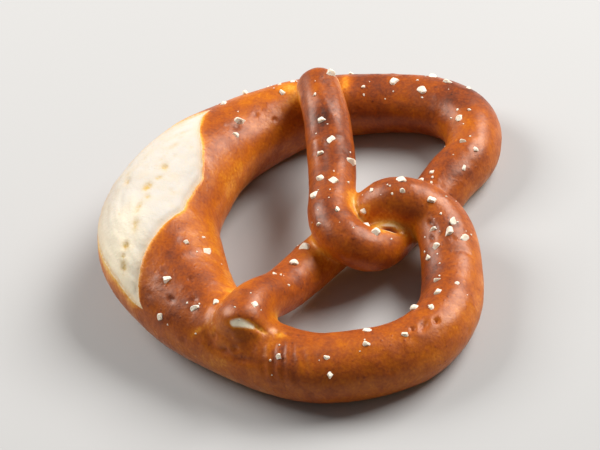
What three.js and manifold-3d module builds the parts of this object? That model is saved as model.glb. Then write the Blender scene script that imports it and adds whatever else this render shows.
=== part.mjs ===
// A soft lye pretzel with coarse salt. One rope of dough is thick at the belly and thin at
// its arms. The arms cross, turn half round each other and cross again, and each end is
// pressed on a shoulder. The belly is slashed, so its crust has opened over pale crumb.
//
// Millimetres, +Z up. +X runs across the pretzel and +Y from the belly to the lobes. The
// pretzel lies on z = 0, and the origin is under the middle of its outline.

import * as THREE from 'three';
import { mergeVertices } from 'three/addons/utils/BufferGeometryUtils.js';
import Module from 'manifold-3d';

// ---------------------------------------------------------------- driving dimensions

const HALF_WIDTH = 62; // from the middle line to the rope's centre at the widest place
const WIDEST_Y = 13; // where that is
const BELLY_Y = -44; // the rope's centre at the middle of the belly
const FOOT = 0.8; // how far the dough has settled flat on the tray

const BELLY_WIDTH = 38; // the rope at the middle of the belly
const SIDE_WIDTH = 22; // at the shoulders
const ARM_WIDTH = 14.6; // along the arms
const TAPER_LENGTH = 190; // along the rope from the belly's middle to the arms' thickness
const TAPER_POWER = 2.5;
const ARM_FLATNESS = 0.93; // height over width of a thin rope
const BELLY_SAG = 0.14; // what the heavy belly loses of that

// Each half of the rope runs from the belly round its lobe, through the twist and along its
// arm. Roundness is a superellipse's power, and the climb lifts the lobe's end to the twist.
const LEFT = {
  side: -1,
  bellySwell: 58, // how far the belly's thickness reaches from its middle
  bellyRoundness: 1.9,
  lobeTop: [-37, 54],
  lobeRoundness: 2.3,
  lobeEnd: 128, // degrees round the lobe
  climb: 0,
  straightRun: true, // the rope runs straight from this lobe into the twist
  tip: [-59.5, 4.5, 24],
  armBow: -2.5, // how far the arm bends from the straight line to its tip
};
const RIGHT = {
  side: 1,
  bellySwell: 39,
  bellyRoundness: 1.65,
  lobeTop: [27.5, 47],
  lobeRoundness: 2.5,
  lobeEnd: 126,
  climb: 8,
  straightRun: false,
  tip: [56.5, -15, 21.5],
  armBow: -3.8,
};

const NEAR_CROSSING = [8, 11]; // the left arm lies on top here
const FAR_CROSSING = [2, 32]; // and the right one here
const TWIST_RADIUS = 7.9; // how far each rope swings out between the crossings
const TWIST_LEAN = 4.6; // the twist as a whole leans to the right
const TWIST_HEIGHT = 14.2;
const TWIST_RISE = 5; // each rope above or below that at the crossings

const TIP_WIDTH = 14;
const TIP_HEIGHT = 11.5; // pressed flat on the shoulder
const TIP_ROUNDING = 6.5;

const ARM_RISE = [0.3, 0.9]; // shares of an arm's length between which it rises to its tip
const CLIMB_STATIONS = 2; // a lobe climbs over its last stations

// Slow lumps in the hand-rolled dough are two waves, which wind round the rope.
const LUMP_HEIGHT = 0.18;
const LUMP_WAVES = [
  { length: 69, turns: 2, start: 0 },
  { length: 42, turns: -1, start: 2 },
];
const RELIEF_START = 5; // the tip's half width up to which relief grows

// The slash is a lens on the belly's upper, outer side. Angles go round the rope: 0 points
// to the outside of the pretzel and 90 up.
const SLASH_MIDDLE = -8; // along the rope from the belly's middle
const SLASH_HALF_LENGTH = 40.5;
const SLASH_HALF_ANGLE = 54;
const SLASH_ANGLE = 79; // the lens's middle line at the middle of its length
const SLASH_SLOPE = 17; // degrees that it leans from end to end, each way
const SLASH_DROOP = 29; // degrees that its ends hang lower
const LIP_ANGLE = 2; // the crust's edge, from the crumb up to the lip
const LIP_RISE = 0.5;
const LIP_WIDTH = 2.5;
const CRUMB_DROP = 0.5; // the crumb beside the lip
const CRUMB_EDGE = 3; // from there to full height
const CRUMB_BULGE = 1.1;
const SLASH_CLOSING = 0.25; // share of the full opening below which the lips come together

const GRAINS = 68;
const GRAIN_RADIUS = 1.3;
const GRAIN_VARIATION = 0.45; // of that, either way, times the draw
const GRAIN_SINK = 0.35; // how deep a grain's middle sits, in radii
const GRAIN_ROUGHNESS = 0.22;
const GRAIN_SPACING = 4.2;
const GRAIN_SPREAD = 62; // degrees from the top of the rope
const GRAIN_SEED = 20;
const GRAIN_FREE_ANGLE = 10; // degrees beside the slash that stay bare
const GRAIN_FREE_END = 2; // and how far past its ends
const NEXT_TURN = 30; // dough further off along the rope is another turn of it

const SEGMENTS = 24;
const SLASH_SEGMENTS = 6; // of those, across the slash
const LEAST_SLASH_ANGLE = 6; // half of what they take in where the slash is closed
const RING_SPACING = 4.2;
const EVENING_LENGTH = 25; // from the slash's end to rings with even steps
const BELLY_REACH = 105; // the rope is lofted in three stretches, cut this far each way
const TIP_RINGS = 4;
const SMALLEST_DETAIL = 0.04; // slivers thinner than this are taken out
const WELD = 1e-4;

const BELLY_STATIONS = 5;
const LOBE_STATIONS = 6;
const TWIST_STATIONS = 4;
const ARM_STATIONS = 4;
const SAMPLES = 12; // between two stations
const RELAXING = 16; // rounds of rounding off the samples
const TILTED_START = 31; // degrees, where a ring's first corner lies

const CRUST = new THREE.MeshStandardMaterial({ color: 0x8f4519, roughness: 0.38, metalness: 0 });

// ---------------------------------------------------------------- helpers

const radians = THREE.MathUtils.degToRad;
const clamp = THREE.MathUtils.clamp;
const mix = THREE.MathUtils.lerp;

function smooth(value) {
  const t = clamp(value, 0, 1);
  return t * t * (3 - 2 * t);
}

function signedPower(value, power) {
  return Math.sign(value) * Math.abs(value) ** power;
}

function degreesBetween(angle, other) {
  return Math.abs(((angle - other + 540) % 360) - 180);
}

// A small seeded generator of numbers from 0 to 1.
function seeded(seed) {
  let state = seed;
  return () => {
    state = (state + 0x6d2b79f5) | 0;
    let t = Math.imul(state ^ (state >>> 15), 1 | state);
    t = (t + Math.imul(t ^ (t >>> 7), 61 | t)) ^ t;
    return ((t ^ (t >>> 14)) >>> 0) / 4294967296;
  };
}

// ---------------------------------------------------------------- the rope's route

// A station is [x, y, z of the centre, width, height]. Where z is null the rope lies on the
// tray, lifted by the last value.
function bellyQuarter({ side, bellyRoundness }) {
  const power = 2 / bellyRoundness;
  return Array.from({ length: BELLY_STATIONS }, (_, i) => {
    const turn = (Math.PI / 2) * ((i + 1) / BELLY_STATIONS);
    const x = side * HALF_WIDTH * Math.sin(turn) ** power;
    const y = WIDEST_Y - (WIDEST_Y - BELLY_Y) * Math.max(Math.cos(turn), 0) ** power;
    return [x, y, null, 0];
  });
}

function lobe({ side, lobeTop, lobeRoundness, lobeEnd, climb }) {
  const power = 2 / lobeRoundness;
  const middle = Math.abs(lobeTop[0]);
  return Array.from({ length: LOBE_STATIONS }, (_, i) => {
    const turn = radians((lobeEnd * (i + 1)) / LOBE_STATIONS);
    const x = side * (middle + (HALF_WIDTH - middle) * signedPower(Math.cos(turn), power));
    const y = WIDEST_Y + (lobeTop[1] - WIDEST_Y) * Math.sin(turn) ** power;
    const climbed = (i + 1 + CLIMB_STATIONS - LOBE_STATIONS) / CLIMB_STATIONS;
    return [x, y, null, climb * smooth(climbed)];
  });
}

// Half a turn of a helix, from the far crossing back to the near one.
function twist({ side }) {
  return Array.from({ length: TWIST_STATIONS }, (_, i) => {
    const along = 1 - i / (TWIST_STATIONS - 1);
    const swing = Math.sin(Math.PI * along) * (TWIST_LEAN - side * TWIST_RADIUS);
    const x = mix(NEAR_CROSSING[0], FAR_CROSSING[0], along) + swing;
    const y = mix(NEAR_CROSSING[1], FAR_CROSSING[1], along);
    return [x, y, TWIST_HEIGHT - side * TWIST_RISE * Math.cos(Math.PI * along), 0];
  });
}

function arm({ tip, armBow }, [startX, startY, startZ]) {
  const run = new THREE.Vector2(tip[0] - startX, tip[1] - startY);
  const across = new THREE.Vector2(-run.y, run.x).normalize();
  return Array.from({ length: ARM_STATIONS }, (_, i) => {
    const t = (i + 1) / ARM_STATIONS;
    const bow = 4 * t * (1 - t) * armBow;
    const risen = (t - ARM_RISE[0]) / (ARM_RISE[1] - ARM_RISE[0]);
    const z = mix(startZ, tip[2], smooth(risen));
    return [startX + run.x * t + across.x * bow, startY + run.y * t + across.y * bow, z, 0];
  });
}

function halfRope(half) {
  const route = [...bellyQuarter(half), ...lobe(half)];
  const turns = twist(half);
  if (half.straightRun) {
    const last = route.at(-1);
    route.push([(last[0] + turns[0][0]) / 2, (last[1] + turns[0][1]) / 2, null, 0]);
  }
  route.push(...turns, ...arm(half, turns.at(-1)));

  let [x, y, along] = [0, BELLY_Y, 0];
  return route.map((station, i) => {
    along += Math.hypot(station[0] - x, station[1] - y);
    [x, y] = station;
    const swell = Math.exp(-((along / half.bellySwell) ** TAPER_POWER));
    const taper = Math.max(0, 1 - (along / TAPER_LENGTH) ** TAPER_POWER);
    let width = mix(ARM_WIDTH, SIDE_WIDTH, taper) + (BELLY_WIDTH - SIDE_WIDTH) * swell;
    let height = width * (ARM_FLATNESS - BELLY_SAG * swell);
    const z = station[2] ?? height / 2 - FOOT + station[3];
    if (i === route.length - 1) {
      [width, height] = [TIP_WIDTH, TIP_HEIGHT];
    }
    return [x, y, z, width, height];
  });
}

const BELLY_HEIGHT = BELLY_WIDTH * (ARM_FLATNESS - BELLY_SAG);
const bellyMiddle = [0, BELLY_Y, BELLY_HEIGHT / 2 - FOOT, BELLY_WIDTH, BELLY_HEIGHT];
const leftHalf = halfRope(LEFT).reverse();
const stations = [...leftHalf, bellyMiddle, ...halfRope(RIGHT)];

// A Catmull-Rom curve through all five values of the stations, relaxed as soft dough is.
function sampleRope() {
  const before = stations[0].map((v, k) => 2 * v - stations[1][k]);
  const after = stations.at(-1).map((v, k) => 2 * v - stations.at(-2)[k]);
  const knots = [before, ...stations, after];
  const samples = [];
  for (let i = 0; i < stations.length - 1; i++) {
    for (let step = 0; step < SAMPLES; step++) {
      const t = step / SAMPLES;
      samples.push(knots[i].map((a, k) => {
        const [b, c, d] = [knots[i + 1][k], knots[i + 2][k], knots[i + 3][k]];
        const square = 2 * a - 5 * b + 4 * c - d;
        return 0.5 * (2 * b + (c - a) * t + square * t * t + (3 * b - a - 3 * c + d) * t ** 3);
      }));
    }
  }
  samples.push([...stations.at(-1)]);
  for (let round = 0; round < RELAXING; round++) {
    const old = samples.map((sample) => [...sample]);
    for (let i = 1; i < samples.length - 1; i++) {
      samples[i] = old[i].map((v, k) => (old[i - 1][k] + 2 * v + old[i + 1][k]) / 4);
    }
  }
  return samples;
}

const samples = sampleRope();
const lengths = [0];
for (let i = 1; i < samples.length; i++) {
  const [a, b] = [samples[i - 1], samples[i]];
  lengths.push(lengths.at(-1) + Math.hypot(b[0] - a[0], b[1] - a[1], b[2] - a[2]));
}
const middleLength = lengths[leftHalf.length * SAMPLES];
const places = lengths.map((length) => length - middleLength);
const LEFT_END = places[0];
const RIGHT_END = places.at(-1);

// The rope at a place along it, counted from the belly's middle, negative to the left.
function ropeAt(place) {
  let i = places.findIndex((p) => p > place) - 1;
  if (i < 0) {
    i = place <= LEFT_END ? 0 : places.length - 2;
  }
  const t = clamp((place - places[i]) / (places[i + 1] - places[i]), 0, 1);
  const [x, y, z, width, height] = samples[i].map((v, k) => mix(v, samples[i + 1][k], t));
  const tangent = new THREE.Vector3().fromArray(samples[i + 1]);
  tangent.sub(new THREE.Vector3().fromArray(samples[i])).normalize();
  const outward = new THREE.Vector3().crossVectors(tangent, new THREE.Vector3(0, 0, 1));
  outward.normalize();
  const toTip = Math.min(place - LEFT_END, RIGHT_END - place);
  const rounding = Math.sqrt(1 - clamp(1 - toTip / TIP_ROUNDING, 0, 1) ** 2);
  return {
    centre: new THREE.Vector3(x, y, z),
    outward,
    up: new THREE.Vector3().crossVectors(outward, tangent),
    halfWidth: (width / 2) * rounding,
    halfHeight: (height / 2) * rounding,
  };
}

// ---------------------------------------------------------------- the rope's surface

// Where the slash lies round the rope, in degrees. Past its ends it has no width.
function slashAt(place) {
  const t = (place - SLASH_MIDDLE) / SLASH_HALF_LENGTH;
  const end = clamp(t, -1, 1);
  return {
    t,
    angle: SLASH_ANGLE - SLASH_SLOPE * end - SLASH_DROOP * end * end,
    halfAngle: SLASH_HALF_ANGLE * (1 - end * end),
  };
}

// How far the surface stands out from the plain rope.
function relief(place, angle, halfWidth) {
  let rise = 0;
  LUMP_WAVES.forEach(({ length, turns, start }) => {
    const phase = (2 * Math.PI * place) / length + turns * radians(angle) + start;
    rise += LUMP_HEIGHT * Math.sin(phase);
  });
  const slash = slashAt(place);
  if (slash.halfAngle > 0) {
    const off = degreesBetween(angle, slash.angle);
    const fromLip = radians(off - slash.halfAngle) * halfWidth;
    const opening = smooth(slash.halfAngle / SLASH_HALF_ANGLE / SLASH_CLOSING);
    if (off > slash.halfAngle + LIP_ANGLE / 2) {
      rise += opening * LIP_RISE * Math.exp(-fromLip / LIP_WIDTH);
    } else {
      const crumb = smooth(-fromLip / CRUMB_EDGE);
      rise += opening * (mix(-CRUMB_DROP, 0, crumb) + CRUMB_BULGE * crumb * (1 - slash.t ** 2));
    }
  }
  return rise;
}

function surfacePoint(place, angle) {
  const { centre, outward, up, halfWidth, halfHeight } = ropeAt(place);
  const turn = radians(angle);
  const rise = relief(place, angle, halfWidth) * smooth(halfWidth / RELIEF_START);
  const point = centre.clone();
  point.addScaledVector(outward, (halfWidth + rise) * Math.cos(turn));
  point.addScaledVector(up, (halfHeight + rise) * Math.sin(turn));
  point.z = Math.max(point.z, 0);
  return point;
}

// A ring's corners. On the belly they follow both lips of the slash, so that the crust's
// edge is sharp, and away from it they go back to even steps.
function ringAngles(place) {
  const slash = slashAt(place);
  const halfAngle = Math.max(slash.halfAngle, LEAST_SLASH_ANGLE);
  const away = (Math.abs(slash.t) - 1) * SLASH_HALF_LENGTH;
  const evenness = smooth(away / EVENING_LENGTH);
  return Array.from({ length: SEGMENTS }, (_, i) => {
    const even = TILTED_START + (360 * i) / SEGMENTS;
    let angle = slash.angle - halfAngle + (2 * halfAngle * i) / SLASH_SEGMENTS;
    if (i > SLASH_SEGMENTS) {
      const lip = slash.angle + halfAngle + LIP_ANGLE;
      const crust = 360 - 2 * (halfAngle + LIP_ANGLE);
      const step = (i - SLASH_SEGMENTS - 1) / (SEGMENTS - SLASH_SEGMENTS - 2);
      angle = lip + crust * step;
    }
    return mix(angle, even, evenness);
  });
}

// ---------------------------------------------------------------- solids

const wasm = await Module();
wasm.setup();

function solidOf(geometry) {
  const bare = geometry.clone();
  bare.deleteAttribute('normal');
  bare.deleteAttribute('uv');
  const merged = mergeVertices(bare, WELD);
  return new wasm.Manifold(new wasm.Mesh({
    numProp: 3,
    vertProperties: Float32Array.from(merged.attributes.position.array),
    triVerts: Uint32Array.from(merged.index.array),
  }));
}

// A closed skin over rings of equal counts, with a point in the middle of each end.
function loft(rings) {
  const middleOf = (ring) => {
    const middle = new THREE.Vector3();
    ring.forEach((point) => middle.add(point));
    return middle.divideScalar(ring.length);
  };
  const points = [...rings.flat(), middleOf(rings[0]), middleOf(rings.at(-1))];
  const corner = (ring, i) => ring * SEGMENTS + (i % SEGMENTS);
  const last = rings.length - 1;
  const faces = [];
  for (let i = 0; i < SEGMENTS; i++) {
    for (let ring = 0; ring < last; ring++) {
      const [a, b] = [corner(ring, i), corner(ring, i + 1)];
      const [c, d] = [corner(ring + 1, i), corner(ring + 1, i + 1)];
      faces.push(a, c, b, b, c, d);
    }
    faces.push(points.length - 2, corner(0, i), corner(0, i + 1));
    faces.push(points.length - 1, corner(last, i + 1), corner(last, i));
  }
  const geometry = new THREE.BufferGeometry().setFromPoints(points);
  geometry.setIndex(faces);
  return geometry;
}

// The places of a stretch's rings. They come closer together round a tip.
function ringPlaces(from, to) {
  const tipPlaces = (end, inward) => Array.from({ length: TIP_RINGS }, (_, i) => {
    const turn = ((i + 1) / (TIP_RINGS + 1)) * (Math.PI / 2);
    return end + inward * TIP_ROUNDING * (1 - Math.cos(turn));
  });
  const atLeftTip = from === LEFT_END;
  const atRightTip = to === RIGHT_END;
  const start = atLeftTip ? from + TIP_ROUNDING : from;
  const end = atRightTip ? to - TIP_ROUNDING : to;
  const count = Math.round((end - start) / RING_SPACING);
  const even = Array.from({ length: count + 1 }, (_, i) => mix(start, end, i / count));
  return [
    ...(atLeftTip ? tipPlaces(from, 1) : []),
    ...even,
    ...(atRightTip ? tipPlaces(to, -1).reverse() : []),
  ];
}

function stretch(from, to) {
  const rings = ringPlaces(from, to).map((place) =>
    ringAngles(place).map((angle) => surfacePoint(place, angle)));
  return solidOf(loft(rings));
}

// ---------------------------------------------------------------- salt

// Whether another part of the rope lies over a point or close beside it.
function covered(point, place) {
  return samples.some(([x, y, z, width], i) => {
    const nextTurn = Math.abs(places[i] - place) > NEXT_TURN;
    const near = Math.hypot(x - point.x, y - point.y) < width / 2 + GRAIN_RADIUS;
    return nextTurn && near && z > point.z - width / 2;
  });
}

function onSlash(place, angle) {
  const slash = slashAt(place);
  const along = Math.abs(slash.t) < 1 + GRAIN_FREE_END / SLASH_HALF_LENGTH;
  return along && degreesBetween(angle, slash.angle) < slash.halfAngle + GRAIN_FREE_ANGLE;
}

// Grains are scattered evenly along the rope, most of them near its top.
function scatterGrains() {
  const draw = seeded(GRAIN_SEED);
  const grains = [];
  while (grains.length < GRAINS) {
    const place = mix(LEFT_END + TIP_ROUNDING, RIGHT_END - TIP_ROUNDING, draw());
    const angle = 90 + GRAIN_SPREAD * (draw() + draw() - 1);
    const radius = GRAIN_RADIUS * (1 + GRAIN_VARIATION * (2 * draw() - 1));
    const spin = [draw(), draw(), draw()].map((d) => 2 * Math.PI * d);
    const point = surfacePoint(place, angle);
    const crowded = grains.some((grain) => grain.point.distanceTo(point) < GRAIN_SPACING);
    if (!onSlash(place, angle) && !covered(point, place) && !crowded) {
      const inward = ropeAt(place).centre.sub(point).normalize();
      point.addScaledVector(inward, GRAIN_SINK * radius);
      grains.push({ point, radius, spin });
    }
  }
  return grains;
}

// A rough block with the corners of an icosahedron moved in and out.
function grainSolid({ point, radius, spin }, index) {
  const draw = seeded(GRAIN_SEED + 1 + index);
  const geometry = new THREE.IcosahedronGeometry(radius, 0);
  geometry.deleteAttribute('normal');
  geometry.deleteAttribute('uv');
  const block = mergeVertices(geometry, WELD);
  const corners = block.attributes.position;
  for (let i = 0; i < corners.count; i++) {
    const stretched = 1 + GRAIN_ROUGHNESS * (2 * draw() - 1);
    corners.setXYZ(
      i,
      corners.getX(i) * stretched,
      corners.getY(i) * stretched,
      corners.getZ(i) * stretched,
    );
  }
  block.applyMatrix4(new THREE.Matrix4().makeRotationFromEuler(new THREE.Euler(...spin)));
  block.translate(point.x, point.y, point.z);
  return solidOf(block);
}

// ---------------------------------------------------------------- the pretzel

function pretzelGeometry() {
  let dough = stretch(LEFT_END, -BELLY_REACH);
  dough = dough.add(stretch(-BELLY_REACH, BELLY_REACH));
  dough = dough.add(stretch(BELLY_REACH, RIGHT_END));
  scatterGrains().forEach((grain, index) => {
    dough = dough.add(grainSolid(grain, index));
  });
  // Where the ropes meet, slivers of air can be sealed in. Only the outer skin is kept.
  const [outer] = dough.decompose().sort((a, b) => b.volume() - a.volume());
  const { vertProperties, triVerts } = outer.simplify(SMALLEST_DETAIL).getMesh();
  const geometry = new THREE.BufferGeometry();
  geometry.setAttribute('position', new THREE.BufferAttribute(vertProperties, 3));
  geometry.setIndex(new THREE.BufferAttribute(triVerts, 1));
  geometry.computeVertexNormals();
  return geometry;
}

const pretzel = new THREE.Mesh(pretzelGeometry(), CRUST);
pretzel.name = 'pretzel';

const part = new THREE.Group();
part.add(pretzel);

export default part;
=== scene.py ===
# %% [markdown]
# # A soft lye pretzel
#
# A soft pretzel is one rope of dough, thick in the middle and thin at both ends. The baker
# crosses the ends, gives them half a turn and presses them on the shoulders, dips the whole in
# lye, strews it with coarse salt and slashes the belly. This lesson shapes the rope from a few
# sizes, melts its turns together where they touch, and then bakes it with materials.
#
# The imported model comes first. It fixes where the pretzel is and how large it may be.

# %% Load the frame
import itertools
import math
from types import SimpleNamespace

import bmesh
import bpy
import numpy as np
from mathutils import Matrix, Vector
from mathutils.bvhtree import BVHTree


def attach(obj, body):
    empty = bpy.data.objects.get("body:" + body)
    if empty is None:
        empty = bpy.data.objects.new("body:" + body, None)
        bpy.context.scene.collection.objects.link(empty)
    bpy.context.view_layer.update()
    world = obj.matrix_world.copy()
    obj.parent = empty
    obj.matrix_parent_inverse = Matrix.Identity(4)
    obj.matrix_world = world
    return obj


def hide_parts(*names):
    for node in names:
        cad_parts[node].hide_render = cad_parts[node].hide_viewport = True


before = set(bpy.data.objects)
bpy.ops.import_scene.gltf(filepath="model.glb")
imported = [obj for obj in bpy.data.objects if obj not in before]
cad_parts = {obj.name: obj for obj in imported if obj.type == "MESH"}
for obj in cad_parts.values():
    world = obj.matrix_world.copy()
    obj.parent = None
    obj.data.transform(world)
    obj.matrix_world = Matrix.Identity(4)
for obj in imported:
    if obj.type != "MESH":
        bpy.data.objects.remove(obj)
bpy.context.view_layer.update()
MM = 0.001  # all sizes below are in millimetres until a mesh is made

# %% [markdown]
# ## The route of the rope
#
# A rope's route could be drawn by hand as a curve. Here it is worked out from a few driving
# sizes, because the pretzel then keeps its proportions when one of them changes: the belly and
# the lobes follow superellipses, and the twist is half a turn of a helix. Each station holds the
# rope's centre, its width and its height.

# %% Sizes of the rope
HALF_WIDTH = 62.0  # from the middle line to the rope's centre
WIDEST_Y = 13.0  # where the belly's curve meets the lobes'
BELLY_Y = -44.0
FOOT = 0.8  # how far the dough has settled flat on the tray

BELLY_WIDTH = 38.0
SIDE_WIDTH = 22.0
ARM_WIDTH = 14.6
TAPER_LENGTH = 190.0  # from the belly's middle to a rope as thin as an arm
TAPER_POWER = 2.5
ARM_FLATNESS = 0.93  # height over width
BELLY_SAG = 0.14  # what the heavy belly loses of that

LEFT = SimpleNamespace(
    side=-1, belly_swell=58.0, belly_roundness=1.9, lobe_top=(-37.0, 54.0),
    lobe_roundness=2.3, lobe_end=128.0, climb=0.0, straight_run=True,
    tip=(-59.5, 4.5, 24.0), tip_size=(14.0, 11.5), arm_bow=-2.5,
)
RIGHT = SimpleNamespace(
    side=1, belly_swell=39.0, belly_roundness=1.65, lobe_top=(27.5, 47.0),
    lobe_roundness=2.5, lobe_end=126.0, climb=8.0, straight_run=False,
    tip=(56.5, -15.0, 21.5), tip_size=(16.5, 10.5), arm_bow=-3.8,
)

NEAR_CROSSING = (8.0, 11.0)  # the left arm lies on top here
FAR_CROSSING = (2.0, 32.0)  # and the right one here
TWIST_RADIUS = 7.9
TWIST_LEAN = 4.6
TWIST_HEIGHT = 14.2
TWIST_RISE = 5.0

TIP_ROUNDING = 6.5  # the rounded length of a tip
ARM_RISE = (0.3, 0.9)  # shares of an arm between which its height changes
CLIMB_STATIONS = 2  # the lobe's last ones, where it climbs to the twist

BELLY_STATIONS = 5
LOBE_STATIONS = 6
TWIST_STATIONS = 4
ARM_STATIONS = 4
SAMPLES = 12  # from one station to the next
RELAXING = 16  # rounds of evening the rope out
print("belly", BELLY_WIDTH, "mm wide, arms", ARM_WIDTH, "mm")


# %% Stations from the belly to a tip
def smooth(value, start=0.0, end=1.0):
    """0 before start, 1 past end, and an even rise between them."""
    t = np.clip((np.asarray(value, float) - start) / (end - start), 0, 1)
    return t * t * (3 - 2 * t)


def mix(a, b, t):
    return a + (b - a) * t


def signed_power(value, power):
    return math.copysign(abs(value) ** power, value)


def belly_quarter(half):
    power = 2 / half.belly_roundness
    for i in range(1, BELLY_STATIONS + 1):
        turn = math.pi / 2 * i / BELLY_STATIONS
        x = half.side * HALF_WIDTH * math.sin(turn) ** power
        y = WIDEST_Y - (WIDEST_Y - BELLY_Y) * max(math.cos(turn), 0) ** power
        yield [x, y, None, 0]


def lobe(half):
    power = 2 / half.lobe_roundness
    middle = abs(half.lobe_top[0])
    for i in range(1, LOBE_STATIONS + 1):
        turn = math.radians(half.lobe_end * i / LOBE_STATIONS)
        reach = middle + (HALF_WIDTH - middle) * signed_power(math.cos(turn), power)
        y = WIDEST_Y + (half.lobe_top[1] - WIDEST_Y) * math.sin(turn) ** power
        climbed = smooth((i + CLIMB_STATIONS - LOBE_STATIONS) / CLIMB_STATIONS)
        yield [half.side * reach, y, None, half.climb * climbed]


def twist(half):
    """Half a turn of a helix, from the far crossing back to the near one."""
    for along in np.linspace(1, 0, TWIST_STATIONS):
        swing = math.sin(math.pi * along) * (TWIST_LEAN - half.side * TWIST_RADIUS)
        x = mix(NEAR_CROSSING[0], FAR_CROSSING[0], along) + swing
        y = mix(NEAR_CROSSING[1], FAR_CROSSING[1], along)
        rise = half.side * TWIST_RISE * math.cos(math.pi * along)
        yield [x, y, TWIST_HEIGHT - rise, 0]


def arm(half, start):
    run = Vector(half.tip[:2]) - Vector(start[:2])
    across = Vector((-run.y, run.x)).normalized()
    for i in range(1, ARM_STATIONS + 1):
        t = i / ARM_STATIONS
        place = Vector(start[:2]) + run * t + across * (4 * t * (1 - t) * half.arm_bow)
        z = mix(start[2], half.tip[2], float(smooth(t, *ARM_RISE)))
        yield [place.x, place.y, z, 0]


def half_rope(half):
    route = [*belly_quarter(half), *lobe(half)]
    turns = list(twist(half))
    if half.straight_run:
        last = route[-1]
        route.append([(last[0] + turns[0][0]) / 2, (last[1] + turns[0][1]) / 2, None, 0])
    route += [*turns, *arm(half, turns[-1])]

    stations = []
    before, along = (0, BELLY_Y), 0.0
    for x, y, z, lift in route:
        along += math.dist(before, (x, y))
        before = (x, y)
        swell = math.exp(-((along / half.belly_swell) ** TAPER_POWER))
        taper = max(0, 1 - (along / TAPER_LENGTH) ** TAPER_POWER)
        width = mix(ARM_WIDTH, SIDE_WIDTH, taper) + (BELLY_WIDTH - SIDE_WIDTH) * swell
        height = width * (ARM_FLATNESS - BELLY_SAG * swell)
        stations.append([x, y, height / 2 - FOOT + lift if z is None else z, width, height])
    stations[-1][3:] = half.tip_size
    return stations


belly_height = BELLY_WIDTH * (ARM_FLATNESS - BELLY_SAG)
belly_middle = [0, BELLY_Y, belly_height / 2 - FOOT, BELLY_WIDTH, belly_height]
left_half = half_rope(LEFT)[::-1]
stations = np.array([*left_half, belly_middle, *half_rope(RIGHT)], float)
print(len(stations), "stations")


# %% A smooth rope through the stations
def sample_rope():
    """A Catmull-Rom curve through all five values of the stations, relaxed as soft dough is."""
    knots = np.vstack([2 * stations[0] - stations[1], stations, 2 * stations[-1] - stations[-2]])
    rows = []
    for a, b, c, d in zip(knots, knots[1:], knots[2:], knots[3:]):
        for t in np.arange(SAMPLES) / SAMPLES:
            square = 2 * a - 5 * b + 4 * c - d
            cube = 3 * b - a - 3 * c + d
            rows.append((2 * b + (c - a) * t + square * t**2 + cube * t**3) / 2)
    rows = np.array([*rows, stations[-1]])
    for _ in range(RELAXING):
        rows[1:-1] = (rows[:-2] + 2 * rows[1:-1] + rows[2:]) / 4
    return rows


rope = sample_rope()
steps = np.linalg.norm(np.diff(rope[:, :3], axis=0), axis=1)
rope_places = np.concatenate([[0], np.cumsum(steps)])
rope_places -= rope_places[len(left_half) * SAMPLES]  # counted from the belly's middle
LEFT_END, RIGHT_END = rope_places[0], rope_places[-1]
print("rope in mm", round(RIGHT_END - LEFT_END))


def unit(vectors):
    return vectors / np.linalg.norm(vectors, axis=-1, keepdims=True)


def rope_at(place):
    """The rope's centre, its directions out, up and along, and its half width and half height."""
    place = np.asarray(place, float)
    i = np.clip(np.searchsorted(rope_places, place, side="right") - 1, 0, len(rope) - 2)
    values = np.stack([np.interp(place, rope_places, rope[:, k]) for k in range(5)], -1)
    along = unit(rope[i + 1, :3] - rope[i, :3])
    out = unit(np.cross(along, (0, 0, 1)))
    half_width, half_height = values[..., 3] / 2, values[..., 4] / 2
    return values[..., :3], out, np.cross(out, along), along, half_width, half_height


# %% [markdown]
# ## From a rope to fused dough
#
# The rope touches itself at both crossings and where its tips are pressed on. A Boolean union
# would leave a knife cut there, but risen dough grows together. So the rope is first remeshed as
# a whole with voxels, which takes away what lies inside. Then every corner is moved on to a
# smooth union: the distance to the nearest turn and the distance to the next one are blended,
# which fills the crease between them with a soft fillet. The flat foot is blended the same way.

# %% A rough mesh of all turns
VOXEL = 0.72
ROUGH_STEP = 1.0  # from ring to ring
ROUGH_CORNERS = 72  # in each ring
BLUNT = 0.1  # from the tip to the first ring


def new_object(name, data):
    """Puts something new in the scene."""
    made = bpy.data.objects.new(name, data)
    bpy.context.scene.collection.objects.link(made)
    return made


def rough_rope():
    """A tube of rings along the rope, with a cap at each end."""
    places = np.arange(LEFT_END + BLUNT, RIGHT_END, ROUGH_STEP)
    centre, out, up, _, half_width, half_height = rope_at(places)
    to_tip = np.minimum(places - LEFT_END, RIGHT_END - places)
    rounding = np.sqrt(1 - np.clip(1 - to_tip / TIP_ROUNDING, 0, 1) ** 2)
    turn = np.linspace(0, 2 * math.pi, ROUGH_CORNERS, endpoint=False)
    wide = (half_width * rounding)[:, None, None] * np.cos(turn)[:, None]
    high = (half_height * rounding)[:, None, None] * np.sin(turn)[:, None]
    rings = centre[:, None] + out[:, None] * wide + up[:, None] * high
    rings[..., 2] = np.maximum(rings[..., 2], 0)
    corner = np.arange(rings.size // 3).reshape(-1, ROUGH_CORNERS)
    nearer, farther = corner[:-1], corner[1:]
    sides = np.stack([nearer, farther, np.roll(farther, -1, 1), np.roll(nearer, -1, 1)], -1)
    caps = [corner[0].tolist(), corner[-1, ::-1].tolist()]
    mesh = bpy.data.meshes.new("rough_rope")
    mesh.from_pydata(rings.reshape(-1, 3).tolist(), [], sides.reshape(-1, 4).tolist() + caps)
    return mesh


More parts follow.
